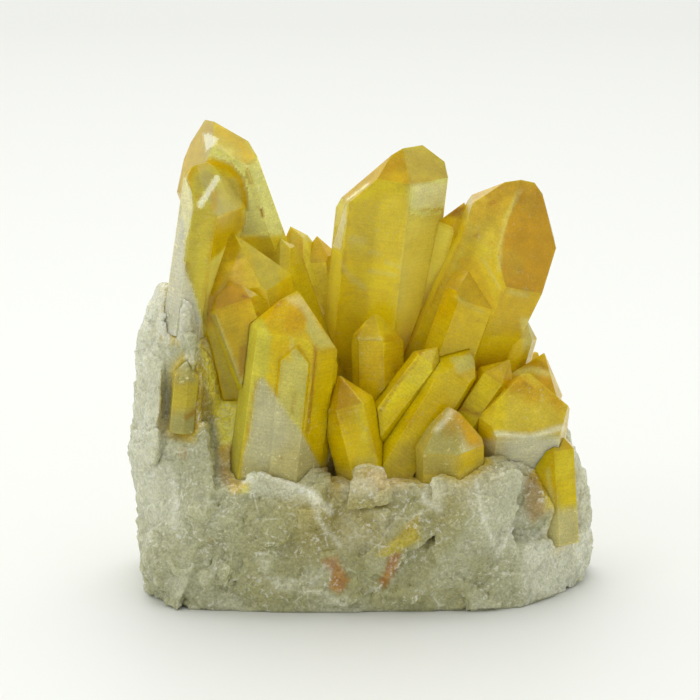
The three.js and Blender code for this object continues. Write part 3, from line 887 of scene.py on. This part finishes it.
def even_skin(name, node):
    """The node's solid as an even, softened skin of small faces."""
    bm = bmesh.new()
    bm.from_mesh(node.data)
    bmesh.ops.remove_doubles(bm, verts=bm.verts, dist=WELD)
    skin = new_object(name, bm)
    remesh = skin.modifiers.new("even skin", "REMESH")
    remesh.mode = "VOXEL"
    remesh.voxel_size = VOXEL
    soften = skin.modifiers.new("soften", "SMOOTH")
    soften.factor = 0.5
    soften.iterations = SOFTENING
    mesh = bpy.data.meshes.new_from_object(
        skin.evaluated_get(bpy.context.evaluated_depsgraph_get())
    )
    skin.modifiers.clear()
    skin.data = mesh
    return skin


def dress_block(node, crystals, crystal_tones):
    """The block with its chips, its stains, a patch of painted light, and the points' colour at
    their roots.
    """
    block = even_skin("milky_block_finish", node)
    bm = bmesh.new()
    bm.from_mesh(block.data)
    bm.normal_update()
    # This layer holds the stains, and the painted light of the glow patch.
    colour = bm.verts.layers.float_color.new("stain_and_painted_light")
    brushes = brushes_for("milky_block")
    stains, moves = [], []
    for vert in bm.verts:
        _, _, near, away = crystals.find_nearest(vert.co, NEARBY)
        away = NEARBY if away is None else away
        stain_and_painted_light = tone("icy")
        if away < STAINED_ROOT[1]:
            stain_and_painted_light = mixed(crystal_tones[near], stain_and_painted_light, smoothstep(*STAINED_ROOT, away))
        out = CLOSE_GAP * (1 - smoothstep(*SWOLLEN, away))
        out += chipped(vert.co) * smoothstep(*UNCHIPPED, away)
        stains.append(stain_and_painted_light)
        moves.append(vert.normal * out)
    for vert, move, stain_and_painted_light in zip(bm.verts, moves, stains):
        if vert.co.z > RESTING:
            vert.co += move
        vert.co.z = max(vert.co.z, 0)
        facing = smoothstep(-0.25, 0.3, vert.normal.dot((EYE - vert.co).normalized()))
        # The patches lay stains, and the glow patch lays painted light.
        if facing > 0:
            stain_and_painted_light = mixed(stain_and_painted_light, painted(stain_and_painted_light, vert.co, brushes), facing)
        whiter = noise.fractal(vert.co / SNOW_CLOUD, 1.0, 2.0, 4)
        share = (0.6 - 0.3 * facing) * smoothstep(0, 0.6, whiter)
        vert[colour] = mixed(stain_and_painted_light, tone("snow"), share)
    bm.to_mesh(block.data)
    bm.free()
    block.data.shade_smooth()
    block.data.set_sharp_from_angle(angle=BLOCK_CREASE)
    return block


def cell_slopes(nodes, links, coords, scale, steepness):
    """The height of flat cells that each tilt their own way."""
    cells = nodes.new("ShaderNodeTexVoronoi")
    cells.inputs["Scale"].default_value = scale
    links.new(coords, cells.inputs["Vector"])
    offset = nodes.new("ShaderNodeVectorMath")
    offset.operation = "SUBTRACT"
    links.new(coords, offset.inputs[0])
    links.new(cells.outputs["Position"], offset.inputs[1])
    tilt = nodes.new("ShaderNodeVectorMath")
    tilt.operation = "SUBTRACT"
    tilt.inputs[1].default_value = (0.5, 0.5, 0.5)
    links.new(cells.outputs["Color"], tilt.inputs[0])
    height = nodes.new("ShaderNodeVectorMath")
    height.operation = "DOT_PRODUCT"
    links.new(offset.outputs[0], height.inputs[0])
    links.new(tilt.outputs[0], height.inputs[1])
    scaled = nodes.new("ShaderNodeMath")
    scaled.operation = "MULTIPLY"
    scaled.inputs[1].default_value = steepness
    links.new(height.outputs["Value"], scaled.inputs[0])
    return scaled.outputs[0]


def milky_quartz():
    """Cloudy white quartz, with bruises, grains and glinting flecks over its stains and painted
    light.
    """
    material, shader = new_material("milky quartz")
    nodes, links = material.node_tree.nodes, material.node_tree.links
    stain_and_painted_light = nodes.new("ShaderNodeAttribute")
    stain_and_painted_light.attribute_name = "stain_and_painted_light"
    coords = nodes.new("ShaderNodeTexCoord").outputs["Object"]

    shade = nodes.new("ShaderNodeVectorMath")
    shade.operation = "SCALE"
    links.new(stain_and_painted_light.outputs["Color"], shade.inputs[0])
    clouds = cloud_share(nodes, links, coords, 180, 3, 0.35, 0.65, 0.95, 1.08)
    grains = cloud_share(nodes, links, coords, 2600, 3, 0.3, 0.7, 0.76, 1.26)
    links.new(product(nodes, links, clouds, grains), shade.inputs["Scale"])

    cracks = nodes.new("ShaderNodeTexVoronoi")
    cracks.feature = "DISTANCE_TO_EDGE"
    cracks.inputs["Scale"].default_value = 260
    links.new(coords, cracks.inputs["Vector"])
    thin = nodes.new("ShaderNodeMapRange")
    thin.inputs["From Min"].default_value = 0.0
    thin.inputs["From Max"].default_value = 0.05
    thin.inputs["To Min"].default_value = 1
    thin.inputs["To Max"].default_value = 0
    links.new(cracks.outputs["Distance"], thin.inputs["Value"])
    cracked = cloud_share(nodes, links, coords, 300, 4, 0.5, 0.65, 0, 0.5)
    bruise = product(nodes, links, thin.outputs[0], cracked)
    whitened = blend(nodes, links, bruise, shade.outputs[0], BRUISE)
    flecks = cloud_share(nodes, links, coords, 1500, 6, 0.55, 0.6, 0, 1)
    flecked = cloud_share(nodes, links, coords, 240, 3, 0.42, 0.62, 0, 0.6)
    sparkle = product(nodes, links, flecks, flecked)
    links.new(blend(nodes, links, sparkle, whitened, SPARKLE), shader.inputs["Base Color"])

    slopes = nodes.new("ShaderNodeMath")
    slopes.operation = "ADD"
    links.new(cell_slopes(nodes, links, coords, 330, 0.7), slopes.inputs[0])
    links.new(cell_slopes(nodes, links, coords, 1300, 1.1), slopes.inputs[1])
    bump = nodes.new("ShaderNodeBump")
    bump.inputs["Strength"].default_value = 0.55
    bump.inputs["Distance"].default_value = 1
    links.new(slopes.outputs[0], bump.inputs["Height"])
    links.new(bump.outputs[0], shader.inputs["Normal"])
    shader.inputs["Roughness"].default_value = 0.23
    shader.inputs["IOR"].default_value = 1.54
    shader.inputs["Specular IOR Level"].default_value = 0.5
    shader.inputs["Subsurface Weight"].default_value = 0.5
    shader.inputs["Subsurface Radius"].default_value = (1, 0.95, 0.7)
    shader.inputs["Subsurface Scale"].default_value = 2.5 * MM
    return material


# ---------------------------------------------------------------- the cluster


def dress_cluster():
    """Finishes every group of points, then the block, and sets them on the frame's body."""
    solids = {name: faceted(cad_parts[name]) for name in POINTS}
    stone = faceted(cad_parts["milky_block"])
    block_skin = BVHTree.FromBMesh(stone)
    stone.free()
    tones = facet_tones(solids)
    clear = golden_quartz("clear golden quartz", clearness=0.45, brightness=1.27)
    cloudy = golden_quartz("golden quartz", clearness=0.24, brightness=1.25)
    frosted = golden_quartz("frosted golden quartz", clearness=0, brightness=1.05)
    finished = []
    for name, bm in solids.items():
        finish = dress_point(name, bm, tones, block_skin)
        finish.data.materials.append(clear if name in CLEAR_POINTS else cloudy)
        finish.data.materials.append(frosted)
        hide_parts(name)
        finished.append(finish)
    joined = bmesh.new()
    for finish in finished:
        joined.from_mesh(finish.data)
    crystals = BVHTree.FromBMesh(joined)
    layer = joined.loops.layers.float_color["stain_and_painted_light"]
    crystal_tones = [list(face.loops[0][layer]) for face in joined.faces]
    joined.free()
    block = dress_block(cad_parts["milky_block"], crystals, crystal_tones)
    block.data.materials.append(milky_quartz())
    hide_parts("milky_block")
    for finish in [*finished, block]:
        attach(finish, "root")


place_camera()
fill_world()
lay_floor()
place_softbox("left_softbox", place=(-0.6, -0.5, 0.7), size=0.4, power=0.8)
dress_cluster()
bpy.context.scene.view_settings.view_transform = "Standard"
